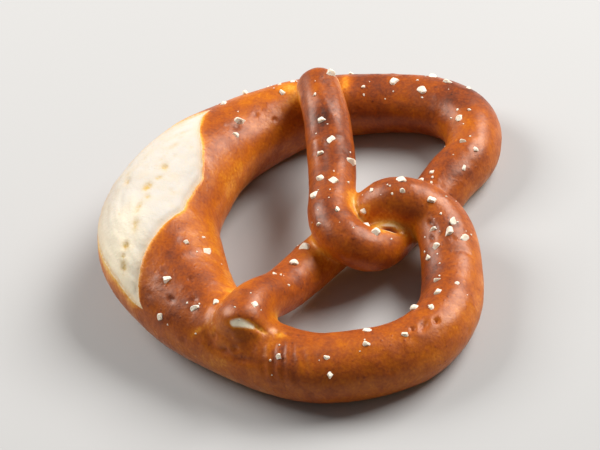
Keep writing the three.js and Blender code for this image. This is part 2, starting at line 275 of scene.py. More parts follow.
def remeshed(mesh, voxel):
    """The mesh built anew of small squares."""
    rough = new_object(mesh.name, mesh)
    modifier = rough.modifiers.new("voxels", "REMESH")
    modifier.mode = "VOXEL"
    modifier.voxel_size = voxel
    bpy.context.view_layer.update()
    evaluated = rough.evaluated_get(bpy.context.evaluated_depsgraph_get())
    solid = bpy.data.meshes.new_from_object(evaluated)
    bpy.data.objects.remove(rough)
    bpy.data.meshes.remove(mesh)
    return solid


dough_mesh = remeshed(rough_rope(), VOXEL)
points = np.empty(len(dough_mesh.vertices) * 3)
dough_mesh.vertices.foreach_get("co", points)
points = points.reshape(-1, 3)
edges = np.empty(len(dough_mesh.edges) * 2, int)
dough_mesh.edges.foreach_get("vertices", edges)
edges = edges.reshape(-1, 2)
print(len(points), "corners,", len(dough_mesh.polygons), "faces")

# %% Which turn of the rope each corner lies on
NEXT_TURN = 30.0  # dough further off along the rope is another turn of it
NEAR_PLACE = 3.0  # a nearest place is looked for this far along the rope
PLACE_STEPS = 3  # in so many steps
CHUNK = 3000  # corners at a time, to save memory
TINY = 1e-6  # keeps a division from zero


def nearest_turns(points):
    """Places along the rope of the nearest turn, and of the nearest part of another turn."""
    places = np.arange(LEFT_END + TIP_ROUNDING, RIGHT_END - TIP_ROUNDING, ROUGH_STEP)
    centre, out, up, along, half_width, half_height = rope_at(places)
    found = []
    for start in range(0, len(points), CHUNK):
        off = points[start:start + CHUNK, None] - centre
        wide = (off * out).sum(-1) / half_width
        high = (off * up).sum(-1) / half_height
        lengthwise = (off * along).sum(-1) / half_width
        radius = np.sqrt(wide**2 + high**2 + lengthwise**2)
        clear = np.linalg.norm(off, axis=-1) * (1 - 1 / np.maximum(radius, TINY))
        first = clear.argmin(1)
        other = np.abs(places - places[first][:, None]) > NEXT_TURN
        second = np.where(other, clear, np.inf).argmin(1)
        found.append(np.stack([places[first], places[second]], -1))
    return np.concatenate(found)


def on_turn(points, place):
    """How far points are outside the rope near a place, which way is out, place and angle."""
    low = np.maximum(place - NEAR_PLACE, LEFT_END + TIP_ROUNDING)
    high = np.minimum(place + NEAR_PLACE, RIGHT_END - TIP_ROUNDING)
    for _ in range(PLACE_STEPS):
        centre, _, _, along, _, _ = rope_at(place)
        past = ((points - centre) * along).sum(-1)
        place = np.clip(place + past, low, high)
    centre, out, up, along, half_width, half_height = rope_at(place)
    off = points - centre
    at_tip = (place <= LEFT_END + TIP_ROUNDING) | (place >= RIGHT_END - TIP_ROUNDING)
    length = np.where(at_tip, TIP_ROUNDING, half_width)
    u, v, w = (off * out).sum(-1), (off * up).sum(-1), (off * along).sum(-1)
    radius = np.sqrt((u / half_width) ** 2 + (v / half_height) ** 2 + (w / length) ** 2)
    slope = (
        (u / half_width**2)[:, None] * out
        + (v / half_height**2)[:, None] * up
        + (w / length**2)[:, None] * along
    ) / radius[:, None]
    steepness = np.linalg.norm(slope, axis=1)
    angle = np.degrees(np.arctan2(v / half_height, u / half_width))
    place = place + np.where(at_tip, w, 0)
    return (radius - 1) / steepness, slope / steepness[:, None], place, angle


turns = nearest_turns(points)
print("places in mm from", round(turns.min()), "to", round(turns.max()))

# %% Melt the turns together
CREASE = 2.6  # turns closer than this grow together
TIP_CREASE = 5.0  # the right tip is pressed on harder and grows in further
PRESSED_LENGTH = 18.0  # from its very end
FOOT_ROUNDING = 2.2
MELTING_STEPS = 6
SETTLING_STEPS = 3
MELTING_PULL = 0.6  # towards the middle of a corner's neighbours, in one step


def blended(a, b, reach, sign):
    """A soft minimum of a and b, or maximum for sign -1, and the share that a has in it."""
    near = np.clip(1 - np.abs(a - b) / reach, 0, 1)
    share = np.where(sign * a < sign * b, 1 - near / 2, near / 2)
    return sign * (np.minimum(sign * a, sign * b) - near**2 * reach / 4), share[:, None]


def pressed_on(turns):
    """1 where the dough is or touches the pressed tip, and 0 away from it."""
    return smooth(turns.max(1), RIGHT_END - PRESSED_LENGTH, RIGHT_END - TIP_ROUNDING)


def dough_field(points, turns):
    """The smooth union's distance and direction, and where the points lie on the nearest turn."""
    first, first_out, place, angle = on_turn(points, turns[:, 0])
    second, second_out, _, _ = on_turn(points, turns[:, 1])
    distance, share = blended(first, second, mix(CREASE, TIP_CREASE, pressed_on(turns)), 1)
    out = first_out * share + second_out * (1 - share)
    distance, share = blended(distance, -points[:, 2], FOOT_ROUNDING, -1)
    out = unit(out * share + np.array((0, 0, -1.0)) * (1 - share))
    return distance, out, place, angle, second


def sideways_pull(points, out):
    """From each corner to the middle of its neighbours, along the surface."""
    total = np.zeros_like(points)
    for k in range(3):
        total[:, k] += np.bincount(edges[:, 0], points[edges[:, 1], k], len(points))
        total[:, k] += np.bincount(edges[:, 1], points[edges[:, 0], k], len(points))
    pull = total / np.bincount(edges.ravel())[:, None] - points
    return pull - (pull * out).sum(1)[:, None] * out


for _ in range(MELTING_STEPS):
    distance, out, *_ = dough_field(points, turns)
    points = points - distance[:, None] * out
    points += MELTING_PULL * sideways_pull(points, out)
for _ in range(SETTLING_STEPS):
    distance, out, place, angle, second = dough_field(points, turns)
    points = points - distance[:, None] * out
print("left over in mm", np.abs(distance).max().round(3))

# %% [markdown]
# ## The slash
#
# A baker cuts the belly's skin with a blade. In the oven the cut opens like a lens, and pale
# crumb swells out between the lips of the crust. The lens is worked out in the rope's own
# coordinates: the place along it, and the angle round it, with 0 pointing outside and 90 up.
# A lip is only as sharp as the mesh is, so a row of corners is slid on to it, like edges that
# are pulled along a guide line. Then the colour can change exactly where the height does.

# %% Noise over points
CELL_PRIMES = np.array((73856093, 19349663, 83492791))  # number each cell of space


def noise(points, size, seed):
    """Smooth seeded noise from -1 to 1, with a bump about every size."""
    scaled = points / np.asarray(size, float)
    cell = np.floor(scaled).astype(np.int64)
    t = scaled - cell
    t = t * t * (3 - 2 * t)
    total = np.zeros(len(points))
    for corner in itertools.product((0, 1), repeat=3):
        key = (cell + corner) @ CELL_PRIMES + seed * 26544357
        key = (key ^ (key >> 13)) * 1274126177 & 0xFFFFFFFF
        key = (key ^ (key >> 16)) * 668265263 & 0xFFFFFFFF
        weight = np.prod(np.where(corner, t, 1 - t), axis=1)
        total += weight * ((key >> 8 & 0xFFFF) / 32767.5 - 1)
    return total


# %% Distance from the lip
SLASH_MIDDLE = -8.0  # its place along the rope
SLASH_HALF_LENGTH = 40.5
SLASH_HALF_ANGLE = 54.0
SLASH_ANGLE = 79.0
SLASH_SLOPE = 17.0  # degrees that its right half leans outward
SLASH_DROOP = 29.0  # and degrees that both its ends do
SLASH_CLOSING = 0.25  # where it is narrower than this share, its relief fades
LOWER_LIP_DROP = 11.0  # degrees, between these two places
LOWER_LIP_PLACES = (16.0, 31.0)
UPPER_LIP = (  # corners of the upper lip, as place and angle
    (-48.5, 67), (-41, 84), (-30, 114), (-22, 127), (-14, 135),
    (7.5, 123), (14, 99), (26, 46), (31.5, 20),
)
LIP_SOFTENING = (-1.6, -0.8, 0.0, 0.8, 1.6)  # it is averaged over these steps
LIP_RAGGEDNESS = 0.25


def plain_lens(place):
    """How far along the slash a place is, and an even lens's middle and half angle there."""
    t = (place - SLASH_MIDDLE) / SLASH_HALF_LENGTH
    end = np.clip(t, -1, 1)
    middle = SLASH_ANGLE - SLASH_SLOPE * end - SLASH_DROOP * end**2
    return t, middle, SLASH_HALF_ANGLE * (1 - end**2)


def slash_at(place):
    """The same for the slash as it has torn open."""
    t, middle, half_angle = plain_lens(place)
    lower = middle - half_angle - LOWER_LIP_DROP * smooth(place, *LOWER_LIP_PLACES)
    places, angles = zip(*UPPER_LIP)
    upper = np.mean([np.interp(place + step, places, angles) for step in LIP_SOFTENING], axis=0)
    return t, (lower + upper) / 2, np.maximum((upper - lower) / 2, 0)


def degrees_past(angle, other):
    """From -180 to 180."""
    return (angle - other + 540) % 360 - 180


def from_lip(place, angle):
    """Millimetres outside the slash's lip, negative on the crumb."""
    t, middle, half_angle = slash_at(place)
    _, middle_next, half_next = slash_at(place + 1)
    half_width = rope_at(place)[4]
    past = degrees_past(angle, middle)
    lean = (middle_next - middle) * np.sign(past) + half_next - half_angle
    off = (np.abs(past) - half_angle) / np.sqrt(np.degrees(1 / half_width) ** 2 + lean**2)
    past_end = (np.abs(t) - 1) * SLASH_HALF_LENGTH
    return np.where(past_end > 0, np.hypot(np.maximum(off, 0), past_end), off)


def ragged_lip(points, place, angle):
    """The same from a lip that is a little torn."""
    torn = LIP_RAGGEDNESS * (noise(points, 4.0, 11) + 0.5 * noise(points, 1.6, 12))
    return from_lip(place, angle) + torn


# %% Lay a row of corners on the lip
STEP = 0.05  # to both sides, to measure a slope
FLATTEST = 0.2  # the least square of a slope
JUST_INSIDE = -0.15  # a corner nearer to the lip counts as outside it
LIP_STEPS = 6
LIP_BAND = 4.0  # corners this near make room for the row
LIP_PULL = 0.5


def lip_slope(place, angle):
    """Which way the distance from the lip grows, and how fast."""
    _, out_side, up, along, half_width, _ = rope_at(place)
    turn = np.radians(angle)[:, None]
    around = up * np.cos(turn) - out_side * np.sin(turn)
    degree_step = np.degrees(STEP / half_width)
    rise_along = from_lip(place + STEP, angle) - from_lip(place - STEP, angle)
    rise_around = from_lip(place, angle + degree_step) - from_lip(place, angle - degree_step)
    slope = (rise_along[:, None] * along + rise_around[:, None] * around) / (2 * STEP)
    return slope / np.maximum((slope**2).sum(1), FLATTEST)[:, None]


lip = ragged_lip(points, place, angle)
inside = lip < JUST_INSIDE
crossing = edges[inside[edges[:, 0]] != inside[edges[:, 1]]]
on_lip = np.zeros(len(points), bool)
on_lip[crossing.ravel()] = True
on_lip &= ~inside
for _ in range(LIP_STEPS):
    points[on_lip] -= (lip[:, None] * lip_slope(place, angle))[on_lip]
    making_room = (np.abs(lip) < LIP_BAND) & ~on_lip
    points += LIP_PULL * sideways_pull(points, out) * making_room[:, None]
    distance, out, place, angle, second = dough_field(points, turns)
    points = points - distance[:, None] * out
    lip = ragged_lip(points, place, angle)
lip = np.where(inside, np.minimum(lip, JUST_INSIDE), np.maximum(lip, 0))
lip[on_lip] = 0
print("crumb share", inside.mean().round(3), "on the lip", on_lip.sum())

# %% [markdown]
# ## Relief
#
# Hand-rolled dough is never quite even. Slow waves and noise make it uneven, and then come the
# lips of the slash and the crumb that swells out between them. Moving corners outward by such
# small heights is the same as sculpting with a draw brush, but it can be repeated exactly.

# %% Lumps and the slash
LUMP_HEIGHT = 0.18
LUMP_WAVES = ((69.0, 2, 0.0), (42.0, -1, 2.0))  # length, turns round the rope, start
UNEVENNESS = ((0.16, 8.0, 1), (0.08, 3.2, 2))  # height, size and seed of each noise
LIP_RISE = 0.5
LIP_WIDTH = 2.5
LIP_WALL = 1.0  # the crust's edge slopes down to the crumb over this width
CRUMB_DROP = 0.4  # at the crumb's edge
CRUMB_EDGE = 2.4  # the crumb swells up over this width
CRUMB_BULGE = 1.1


def layered_noise(layers):
    """Several noises together."""
    return sum(height * noise(points, size, seed) for height, size, seed in layers)


def lumps(place, angle):
    return sum(
        LUMP_HEIGHT * np.sin(2 * math.pi * place / length + rounds * np.radians(angle) + start)
        for length, rounds, start in LUMP_WAVES
    )


def slash_relief(place, lip):
    """Raised lips, and crumb that swells up from a low edge."""
    t, _, half_angle = slash_at(place)
    opening = smooth(half_angle / SLASH_HALF_ANGLE / SLASH_CLOSING)
    crumb = smooth(-lip / CRUMB_EDGE)
    swollen = mix(-CRUMB_DROP, 0, crumb) + CRUMB_BULGE * crumb * (1 - np.clip(t, -1, 1) ** 2)
    crust = LIP_RISE * np.exp(-np.maximum(lip, 0) / LIP_WIDTH)
    return opening * mix(crust, swollen, smooth(-lip / LIP_WALL))


relief = lumps(place, angle) + slash_relief(place, lip) + layered_noise(UNEVENNESS)
print("relief in mm from", relief.min().round(2), "to", relief.max().round(2))

# %% [markdown]
# ## Marks of hands and oven
#
# Fingers, stretching and burst bubbles leave small marks, each of them a soft spot or a row of
# spots. They could be sculpted one by one, but in a table a mark is easily moved or deepened,
# and the baking can colour the very same spots.

# %% Spots on the dough
SPOT_REACH = 1.6  # times its size, where a spot ends


def surface_point(place, angle):
    """A point on the plain rope, and its directions along, around and out."""
    centre, out_side, up, along, half_width, half_height = rope_at(place)
    turn = math.radians(angle)
    wide, high = half_width * math.cos(turn), half_height * math.sin(turn)
    around = up * math.cos(turn) - out_side * math.sin(turn)
    return centre + out_side * wide + up * high, along, around, np.cross(along, around)


def spot(place, angle, length, width, slant=0.0, depth=3.0):
    """A soft spot in mm, 1 in its middle and 0 away from it."""
    centre, along, around, outward = surface_point(place, angle)
    off = points - centre
    near = np.flatnonzero(np.abs(off).max(1) < SPOT_REACH * max(length, width, depth))
    x, y, z = off[near] @ along, off[near] @ around, off[near] @ outward
    c, s = math.cos(math.radians(slant)), math.sin(math.radians(slant))
    long_part, short_part = (x * c + y * s) * 2 / length, (y * c - x * s) * 2 / width
    found = np.zeros(len(points))
    found[near] = np.exp(-(long_part**2 + short_part**2 + (z / depth) ** 2))
    return found


def spots(rows):
    """The strongest of several spots at each corner."""
    return np.max([spot(*row) for row in rows], axis=0)


# %% Marks
TEAR = np.array([  # where the pressed tip has torn: place, angle, length, width and slant
    (264.1, 90, 1.5, 3.0, -14), (263.8, 108, 2.2, 3.6, 0), (263.3, 128, 2.1, 3.6, 8),
    (262.7, 148, 1.6, 3.4, 12), (262.2, 168, 1.1, 3.2, 14), (262.0, 182, 0.8, 2.6, 14),
])
TORN_LINE = [mix(a, b, t) for a, b in zip(TEAR, TEAR[1:]) for t in (0, 1 / 3, 2 / 3)]
FLAP = [(at + 1.9, turned, 2.4, wide * 1.2, slant) for at, turned, _, wide, slant in TORN_LINE]
MARKS = {  # height, added browning or painted shade, and spots by place, angle, length, width, slant and depth
    "arm dent": (-0.6, 0.3, [(-267.5, 82, 10, 8)]),
    "arm groove": (-0.5, 0.1, [(-249, 76, 28, 4.5), (-281, 110, 16, 4.5, 8)]),
    "lobe dent": (-0.3, 0, [(150, 66, 1.6, 7, 10), (149, 48, 1.4, 5, -15)]),
    "bubble": (0.4, -0.2, [(116.3, 72, 6.0, 4.6, 20)]),
    "burst": (-1.2, 0.15, [(116.3, 73, 4, 2.2, 25), (119.6, 66, 1.6, 1.2), (113.4, 79, 1.3, 1)]),
    "pits": (-0.55, 0.15, [
        (-47.2, 120, 2.6, 2.2), (-57.2, 117, 1.6, 1.2, 30), (-62.7, 135, 1.4, 1.2),
        (56.3, 52, 2.4, 1.6, 60), (60.5, 40, 1.8, 1.3), (63.8, 48, 2.4, 1.8),
        (75.3, 104, 2.6, 1.2), (72.4, 98, 1.6, 1.2), (79.0, 108, 1.4, 1.1),
        (157, 123, 2.2, 1.4, 30), (160.3, 112, 2.4, 1.4, 10), (163.5, 118, 1.5, 1.2),
        (36.5, 92, 1.6, 1.2), (43.0, 76, 2.0, 1.4, 40), (37.5, 58, 2.6, 1.6),
    ]),
    "slit": (-2.2, 0, [(-203.8, 72, 6.5, 2.0, -60)]),  # where the turns of the twist meet
    "slit rim": (0, 0, [(-203.8, 74, 9.5, 5.5, -60)]),
    "tear": (-1.0, 0, TORN_LINE),
    "flap": (0.45, 0, FLAP),  # the skin beside the tear
    "tip": (0, 0.15, [(258, 92, 15, 15, 0, 6)]),
    # the browning added in the crease under the tip is painted shade
    "shaded crease under tip": (-0.45, 0.3, [(55, 42, 8, 2.4, -30), (60.5, 36, 8, 2.4), (66.5, 36, 9, 2.2, 10)]),
    "shoulder": (0.5, 0, [(65.5, 62, 11, 8)]),  # it bulges where the tip is pressed on
}
marks = {name: spots(rows) for name, (_, _, rows) in MARKS.items()}
for name, (height, _, _) in MARKS.items():
    relief += height * marks[name]
print(len(marks), "marks on the dough")

# %% Wrinkles and a ridge
WRINKLE_HEIGHT = 0.32
WRINKLE_STEP = 2.9
WRINKLE_TURN = 0.05  # mm for each degree round the rope
RIDGE_HEIGHT = 0.35
RIDGE_PLACE, RIDGE_HALF_WIDTH = -259.5, 0.9  # over the left arm
wrinkled = spot(77, 56, 18, 12) * (0.75 + 0.5 * noise(points, 5.0, 22))
wandering = place + WRINKLE_TURN * angle + 0.5 * noise(points, 4.0, 23)
waves = np.sin(2 * math.pi * wandering / WRINKLE_STEP)
relief += WRINKLE_HEIGHT * wrinkled * waves
ridge = np.exp(-(((place - RIDGE_PLACE) / RIDGE_HALF_WIDTH) ** 2))
relief += RIDGE_HEIGHT * ridge * smooth(angle, 20, 60) * (1 - smooth(angle, 120, 160))
print("wrinkled share", (wrinkled > 0.1).mean().round(3))

# %% Blisters
BLISTERS = 120
BLISTER_HEIGHT = 0.17
BLISTER_SIZES = (1.6, 3.0)
DIMPLES = 60
DIMPLE_DEPTH = 0.2
DIMPLE_SIZES = (1.3, 2.2)
CRUST_SPREAD = 45.0  # degrees round the rope from its top
LIP_CLEARANCE = 2.0
rng = np.random.default_rng(7)


def on_crust(count, sizes):
    """Seeded places round the upper crust, clear of the slash, with a size for each."""
    while count:
        at = rng.uniform(LEFT_END, RIGHT_END), 90 + rng.normal(0, CRUST_SPREAD)
        size = rng.uniform(*sizes)
        if from_lip(*map(np.array, at)) > LIP_CLEARANCE:
            count -= 1
            yield at, size


blistered = np.zeros(len(points))
for at, size in on_crust(BLISTERS, BLISTER_SIZES):
    blistered += spot(*at, size * rng.uniform(1, 1.5), size, rng.uniform(0, 90))
dimpled = np.zeros(len(points))
for at, size in on_crust(DIMPLES, DIMPLE_SIZES):
    dimpled += spot(*at, size, size)
blistered, dimpled = np.clip(blistered, 0, 1), np.clip(dimpled, 0, 1)
relief += BLISTER_HEIGHT * blistered - DIMPLE_DEPTH * dimpled
print(BLISTERS, "blisters,", DIMPLES, "dimples")

# %% The crumb's strands and burst bubbles
STRAND_HEIGHT = 0.2
PORE_DEPTH = 0.5
PORES = (  # strength, then the spot's place, angle, length, width and slant
    (0.45, -31, 84, 6.0, 1.4, -25), (0.5, -24, 90, 4.0, 1.4, -20), (1.3, -13.7, 96, 2.6, 1.8, 10),
    (1.0, -8.4, 95, 2.2, 1.4, -30), (1.3, -4.2, 87, 3.6, 2.2, -20), (0.9, -8.7, 63, 3.4, 1.7, 15),
    (0.8, 0.8, 89, 2.4, 1.5, 0), (0.8, 4.3, 81, 5.0, 1.6, -25), (0.8, 10.3, 74, 5.0, 1.7, -20),
    (1.3, 14.4, 58, 2.8, 2.0, -20), (0.9, 16.6, 50, 1.8, 1.5, 0), (1.3, 18.9, 43, 3.4, 2.1, -10),
)
TOAST = (0.4, 2.4, 2.0)  # round a pore: strength, and how much longer and wider
SMALL_PORES = 26
SMALL_PORE_SIZES = (0.8, 1.3)
SMALL_PORE_STRENGTH = 0.3
SMALL_PORE_AREA = (0.75, 0.7)  # of the slash's half length and half angle
unrolled = np.stack([place, np.radians(angle) * rope_at(place)[4], np.zeros(len(points))], 1)
strands = 0.6 * noise(unrolled, (9.0, 1.9, 1), 5) + 0.4 * noise(unrolled, (4.0, 1.3, 1), 6)
ragged = 0.85 + 0.4 * noise(points, 0.9, 7)
pore, toast = np.zeros(len(points)), np.zeros(len(points))
for strength, *at, length, width, slant in PORES:
    pore = np.maximum(pore, strength * ragged * spot(*at, length, width, slant))
    halo = spot(*at, length * TOAST[1], width * TOAST[2], slant)
    toast = np.maximum(toast, TOAST[0] * strength * halo)
for _ in range(SMALL_PORES):
    t, across = (rng.uniform(-share, share) for share in SMALL_PORE_AREA)
    at_place = SLASH_MIDDLE + t * SLASH_HALF_LENGTH
    _, middle, half_angle = slash_at(np.array(at_place))
    size = rng.uniform(*SMALL_PORE_SIZES)
    found = spot(at_place, float(middle + across * half_angle), size * 1.6, size, -10)
    pore = np.maximum(pore, SMALL_PORE_STRENGTH * found)
in_crumb = smooth(-lip, 0.3, 1.2)
relief += in_crumb * (STRAND_HEIGHT * strands - PORE_DEPTH * pore)
print(len(PORES), "burst bubbles and", SMALL_PORES, "small ones in the crumb")

# %% Shape the dough
FUSED_WITHIN = 3.0  # of another turn
FUSED_SMOOTHER = 0.6  # the share of relief lost there
fused = 1 - smooth(second, 0, FUSED_WITHIN)
points = points + out * (relief * (1 - FUSED_SMOOTHER * fused))[:, None]
points[:, 2] = np.maximum(points[:, 2], 0)
dough_mesh.vertices.foreach_set("co", (points * MM).ravel())
dough_mesh.update()
dough_mesh.shade_smooth()
dough_mesh.name = "dough"
dough = new_object("dough", dough_mesh)
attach(dough, "root")
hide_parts("pretzel")
print("dough in mm", np.ptp(points, axis=0).round(1))

# %% [markdown]
# ## Baking
#
# Lye makes the crust brown quickly, but not evenly: it is darkest on top, orange down the
# flanks, golden where turns touch and at the lips of the slash, and pale where it lay on the
# tray. Each corner keeps one number for how far it has browned, and the material turns that
# number into a colour. The same number also holds painted shade in a few spots: in the crease
# under the right tip, in the slit of the twist and on two lobes. The same could be painted by
# hand as vertex colours.

# %% How far each corner has browned, with painted shade
FLANK, TOP = 0.50, 0.64  # browning runs from 0, pale gold, to 1, mahogany
MOTTLING = ((0.17, 18.0, 31), (0.09, 7.0, 32), (0.04, 2.6, 33))  # amount, size and seed
SHADES = (  # browner or paler by an amount, over a large spot; two rows are painted shade
    (0.20, (-226, 70, 14, 12, 0, 6)),  # left arm, at the twist
    (0.07, (-262, 85, 56, 18, 0, 8)),  # left arm, along its top
    (0.13, (-118, 85, 70, 30, 0, 10)),  # left lobe, painted shade
    (-0.06, (-62, 85, 26, 26, 0, 10)),  # left of the slash
    (-0.16, (-38, 160, 60, 14, 0, 8)),  # belly, inner side
    (-0.30, (30, 145, 54, 15, 0, 8)),
    (0.03, (40, 75, 22, 20, 0, 9)),  # right of the slash
    (-0.20, (71, 76, 8, 9)),  # beside the right tip
    (0.05, (95, 32, 80, 22, 0, 9)),  # right lobe's near flank, painted shade
    (0.06, (150, 75, 70, 26, 0, 10)),
    (-0.16, (134, 12, 50, 14, 0, 8)),  # its low outer side
    (-0.16, (244, 20, 30, 10, 0, 6)),  # right arm, low outer side
)
GOLD_SPOTS = (  # where dough touches dough and browns late
    (-231.7, 156, 8, 6), (190.8, 130, 9, 6), (-92.5, 92, 3.5, 14), (-73.7, 84, 6, 16),
    (-286, 165, 12, 4), (-286, 15, 12, 4), (50.5, 47, 6, 2, 60), (73.5, 97, 5, 3),
)
TWIST_SKIN = (-204.5, 82, 11, 7, -40)  # pale skin round the slit in the twist

browning_and_shade = mix(FLANK, TOP, smooth(out[:, 2], -0.3, 0.8)) + layered_noise(MOTTLING)
browning_and_shade += 0.06 * blistered + 0.05 * dimpled - 0.12 * wrinkled * waves
for name, (_, shade, _) in MARKS.items():
    browning_and_shade += shade * marks[name]
for shade, row in SHADES:
    browning_and_shade += shade * spot(*row)

pressed = pressed_on(turns)
gap = np.maximum(second, 0)  # in mm, to the next turn
browning_and_shade = mix(browning_and_shade, 0.3, mix(0.7, 0.5, pressed) * np.exp(-gap / 4.5))
browning_and_shade = mix(browning_and_shade, mix(0.06, 0.4, pressed), 0.9 * np.exp(-gap / 1.8))
browning_and_shade = mix(browning_and_shade, 0.62, 0.85 * marks["shoulder"])
browning_and_shade = mix(browning_and_shade, 0.08, 0.75 * spots(GOLD_SPOTS))
browning_and_shade = mix(browning_and_shade, 0.0, 0.9 * spot(*TWIST_SKIN))
# painted shade: the slit's hollow is made darkest, mahogany
browning_and_shade = mix(browning_and_shade, 1.0, 0.95 * smooth(marks["slit"], 0.25, 0.8))
print("browning from", browning_and_shade.min().round(2), "to", browning_and_shade.max().round(2))

# %% Pale edges, tear and underside
LOWER_RIM, UPPER_RIM = 3.0, 0.7  # how wide the crust is golden along each lip
_, slash_angle, slash_half_angle = slash_at(place)
past = degrees_past(angle, slash_angle)
rim_width = np.where(past < 0, LOWER_RIM, UPPER_RIM)
open_slash = smooth(slash_half_angle, 0, 8)
browning_and_shade -= 0.5 * np.exp(-np.maximum(lip, 0) / rim_width) * open_slash
browning_and_shade -= 0.3 * smooth(-out[:, 2], 0.6, 0.95) + 0.2 * (1 - smooth(points[:, 2], 0.2, 1.4))
browning_and_shade = mix(browning_and_shade, 0.14, 0.6 * marks["flap"])
browning_and_shade = mix(browning_and_shade, 0.08, 0.85 * smooth(marks["tear"], 0.08, 0.3))
print("mean browning", browning_and_shade.mean().round(2))

# %% Numbers for the material
BARE_TEAR = TORN_LINE[:10]  # the part of the tear that shows crumb
EDGE_WIDTHS = (2.6, 0.9)  # of the crumb's golden edge at the lower lip, left and right
bare_rim = 0.74 * marks["slit rim"] * (1 - smooth(marks["slit"], 0.15, 0.6))
edge_width = np.where(past < 0, mix(*EDGE_WIDTHS, smooth(place, 0, 20)), UPPER_RIM)
# the crumb's near end and the tear are made warmer and brighter: partly painted light on crumb
# that lies in shade
warm_lit_end = smooth(place, -8, 20) * smooth(-past, -30, 10)
KEPT = {
    "browning_and_shade": np.clip(browning_and_shade, 0, 1),
    "lip": np.clip(lip, -20, 20),
    "bared": np.clip(np.maximum(1.6 * spots(BARE_TEAR), bare_rim), 0, 1),
    "golden_edge": np.exp(lip / edge_width) * (lip < 0),
    "toast": np.clip(0.5 * toast * (0.6 + strands) + pore, 0, 1) * in_crumb,
    "warm_lit_crumb": np.maximum(warm_lit_end, smooth(marks["tear"] + marks["slit rim"], 0.1, 0.4)),
    "underside": smooth(-out[:, 2], 0.5, 0.9),
}
for name, values in KEPT.items():
    attribute = dough_mesh.attributes.new(name, "FLOAT", "POINT")
    attribute.data.foreach_set("value", np.asarray(values, np.float32))
print("kept on each corner:", *KEPT)

# %% [markdown]
# ## Salt
#
# Pretzel salt is pressed from fine salt into hard white lumps, and about as many lie on each
# stretch of rope. They lie where the solid has its blocks: the same seeded draws are made and
# the same places are refused. Each lump is a ball cut by a few flat planes, which gives the
# broken faces of a crystal. All of them together, with the crumbs that broke off, are one mesh.

# %% Where the grains lie
GRAINS = 68
GRAIN_RADIUS = 1.3
GRAIN_VARIATION = 0.45
GRAIN_SINK = 0.35  # of its radius, in the dough
GRAIN_SPACING = 4.2
GRAIN_SPREAD = 62.0  # degrees from the rope's top
GRAIN_SEED = 20
GRAIN_FREE_ANGLE = 10.0  # beside the slash
GRAIN_FREE_END = 2.0  # and past its ends


def seeded(seed):
    """The solid's own seeded generator of numbers from 0 to 1."""
    state = seed
    while True:
        state = (state + 0x6D2B79F5) & 0xFFFFFFFF
        t = (state ^ (state >> 15)) * (1 | state) & 0xFFFFFFFF
        t = ((t + ((t ^ (t >> 7)) * (61 | t) & 0xFFFFFFFF)) & 0xFFFFFFFF) ^ t
        yield (t ^ (t >> 14)) / 4294967296


def on_slash(place, bearing):
    t, middle, half_angle = plain_lens(place)
    beside = abs(degrees_past(bearing, middle)) < half_angle + GRAIN_FREE_ANGLE
    return beside and abs(t) < 1 + GRAIN_FREE_END / SLASH_HALF_LENGTH


def scatter_grains():
    """The centre, radius and turns of each grain."""
    draw = seeded(GRAIN_SEED)
    grains = []
    while len(grains) < GRAINS:
        at = mix(LEFT_END + TIP_ROUNDING, RIGHT_END - TIP_ROUNDING, next(draw))
        bearing = 90 + GRAIN_SPREAD * (next(draw) + next(draw) - 1)
        radius = GRAIN_RADIUS * (1 + GRAIN_VARIATION * (2 * next(draw) - 1))
        spin = [2 * math.pi * next(draw) for _ in range(3)]
        point, _, _, outward = surface_point(at, bearing)
        near = np.linalg.norm(rope[:, :2] - point[:2], axis=1) < rope[:, 3] / 2 + GRAIN_RADIUS
        over = near & (rope[:, 2] > point[2] - rope[:, 3] / 2)
        covered = (over & (np.abs(rope_places - at) > NEXT_TURN)).any()
        crowded = any(np.linalg.norm(grain[0] - point) < GRAIN_SPACING for grain in grains)
        if not (on_slash(at, bearing) or covered or crowded):
            grains.append((point - outward * GRAIN_SINK * radius, radius, spin))
    return grains


grains = scatter_grains()
print(len(grains), "grains of salt")

# %% Cut crystals
CRYSTAL_PLANES = 10
PLANE_DEPTHS = (0.55, 0.9)  # shares of the radius
CORNER_REACH = 1.1
WEAR = 0.03
STRETCH = (0.85, 1.12)


def ball(detail):
    """The corners and faces of a round ball."""
    made = bmesh.new()
    bmesh.ops.create_icosphere(made, subdivisions=detail, radius=1)
    corners = np.array([corner.co for corner in made.verts])
    faces = np.array([[corner.index for corner in face.verts] for face in made.faces])
    made.free()
    return corners, faces


def crystal(directions, radius):
    """A ball's corners, cut back by flat planes and a little worn."""
    planes = unit(rng.normal(size=(CRYSTAL_PLANES, 3)))
    depth = rng.uniform(*PLANE_DEPTHS, CRYSTAL_PLANES)
    facing = np.maximum(directions @ planes.T, TINY)
    cut = np.minimum((depth / facing).min(1), CORNER_REACH)
    worn = 1 + WEAR * noise(directions + rng.uniform(0, 50, 3), 0.35, 41)
    return directions * (radius * cut * worn)[:, None] * rng.uniform(*STRETCH, 3)


# %% Seat the crystals and the crumbs that broke off
DUST_TRIES = 110  # on bared crumb or a steep side they don't stay
DUST_SPREAD = 4.0
DUST_SIZES = (0.22, 0.5)
DUST_LEVEL = 0.25  # least upward share of the crust's direction
dough_faces = [tuple(face.vertices) for face in dough_mesh.polygons]
surface = BVHTree.FromPolygons(points.tolist(), dough_faces)
crystals = []


def add_crystal(shape, point, radius, spin):
    """Seats one crystal on the dough."""
    directions, faces = shape
    nearest, normal, _, _ = surface.find_nearest(Vector(point))
    turned = np.array(Matrix.Rotation(spin[0], 3, "X") @ Matrix.Rotation(spin[1], 3, "Y"))
    seat = np.array(nearest - normal * GRAIN_SINK * radius)
    crystals.append((crystal(directions, radius) @ turned + seat, faces))


